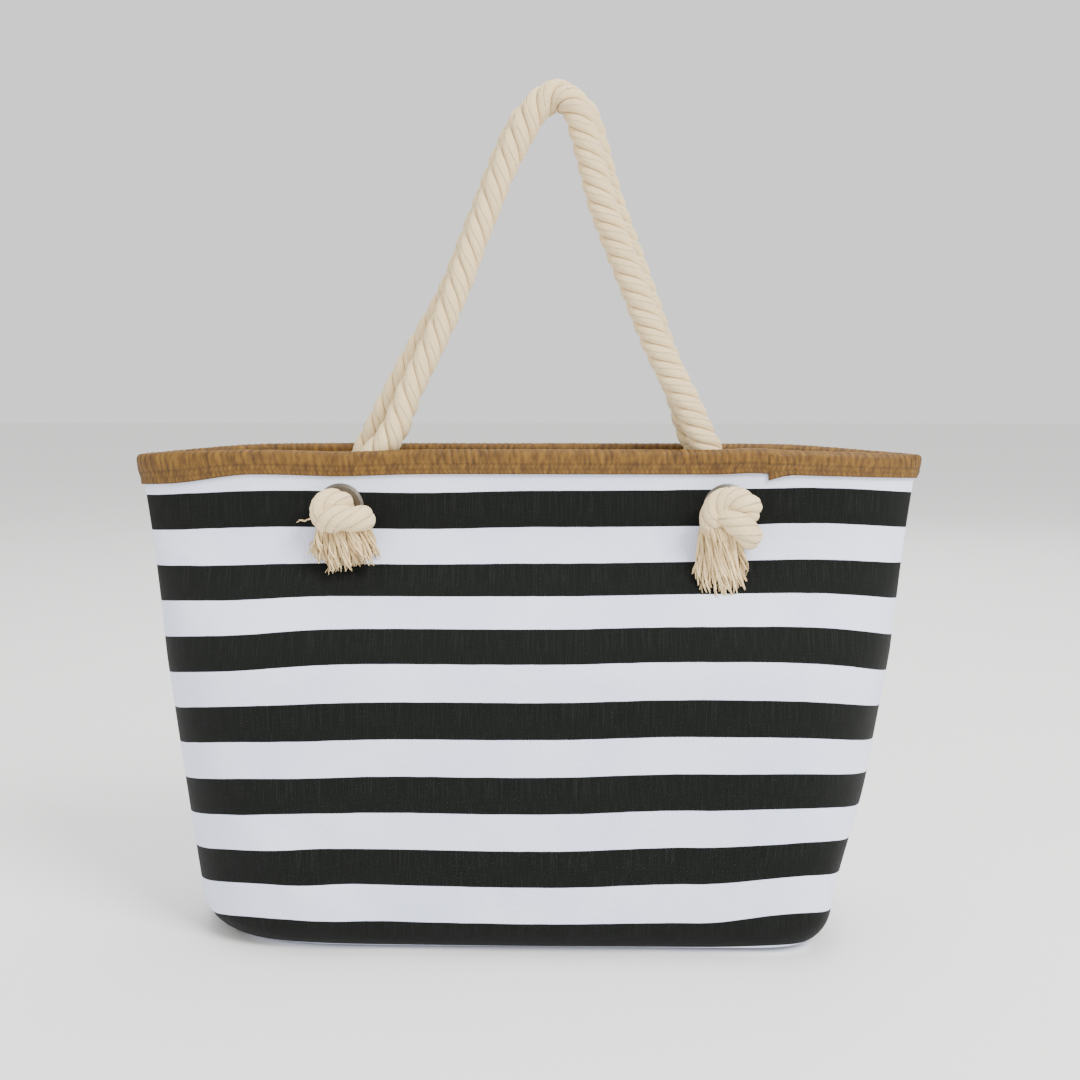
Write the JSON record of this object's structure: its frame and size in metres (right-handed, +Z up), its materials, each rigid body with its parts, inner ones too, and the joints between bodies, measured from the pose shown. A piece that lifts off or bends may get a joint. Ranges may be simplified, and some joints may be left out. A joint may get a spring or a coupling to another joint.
{
  "type": "beach bag",
  "caption": "Soft striped canvas beach tote with a straw-taped rim, two knotted rope handles through eyelets, a lining and a zipped pocket.",
  "frame": {"origin": "centre of the base on the surface that the bag stands on", "axes": "+X along the bag's length to the right seen from the front, +Y from front to back, +Z up"},
  "size_m": [0.558, 0.164, 0.595],
  "materials": {
    "striped_canvas": "matt woven cotton canvas with black stripes",
    "lining_cotton": "plain cotton lining",
    "board": "plain sheet",
    "straw_braid": "braided paper straw",
    "eyelet_metal": "satin nickel plate",
    "cotton_rope": "twisted three-strand cotton",
    "cotton_fray": "frayed cotton yarn",
    "snap_metal": "satin nickel plate",
    "zip_tape": "woven polyester tape",
    "zip_metal": "satin nickel"
  },
  "bodies": {
    "bag": {"front_canvas": "striped_canvas", "back_canvas": "striped_canvas", "base_canvas": "striped_canvas", "front_lining": "lining_cotton", "back_lining": "lining_cotton", "base_lining": "lining_cotton", "base_board": "board", "rim_tape": "straw_braid", "rim_tape_lap": "straw_braid", "front_left_eyelet": "eyelet_metal", "front_right_eyelet": "eyelet_metal", "back_left_eyelet": "eyelet_metal", "back_right_eyelet": "eyelet_metal", "front_left_washer": "eyelet_metal", "front_right_washer": "eyelet_metal", "back_left_washer": "eyelet_metal", "back_right_washer": "eyelet_metal", "front_left_rope_end": "cotton_rope", "front_right_rope_end": "cotton_rope", "back_left_rope_end": "cotton_rope", "back_right_rope_end": "cotton_rope", "front_left_knot": "cotton_rope", "front_right_knot": "cotton_rope", "back_left_knot": "cotton_rope", "back_right_knot": "cotton_rope", "front_left_tassel": "cotton_fray", "front_right_tassel": "cotton_fray", "back_left_tassel": "cotton_fray", "back_right_tassel": "cotton_fray", "snap_stud": "snap_metal", "snap_socket": "snap_metal", "snap_stud_plate": "snap_metal", "snap_socket_plate": "snap_metal", "pocket_panel": "lining_cotton", "pocket_zip_upper_tape": "zip_tape", "pocket_zip_lower_tape": "zip_tape", "pocket_zip_chain": "zip_metal", "pocket_zip_stops": "zip_metal"},
    "front_handle": {"front_handle_rope": "cotton_rope"},
    "back_handle": {"back_handle_rope": "cotton_rope"},
    "zip_slider": {"pocket_zip_slider": "zip_metal"},
    "zip_pull": {"pocket_zip_pull": "zip_metal"}
  },
  "joints": [
    {"name": "front_handle_swing", "type": "hinge", "parent": "bag", "child": "front_handle", "pos_m": [0, -0.0271, 0.339], "axis": [1, 0, 0], "range_deg": [0, 150]},
    {"name": "back_handle_swing", "type": "hinge", "parent": "bag", "child": "back_handle", "pos_m": [0, 0.0271, 0.339], "axis": [-1, 0, 0], "range_deg": [0, 150]},
    {"name": "zip_slide", "type": "slide", "parent": "bag", "child": "zip_slider", "axis": [-1, 0, 0], "range_m": [0, 0.152]},
    {"name": "zip_pull_swing", "type": "hinge", "parent": "zip_slider", "child": "zip_pull", "pos_m": [0.076, 0.02827, 0.25944], "axis": [0, -0.5124, 0.8588], "range_deg": [0, 180]}
  ]
}
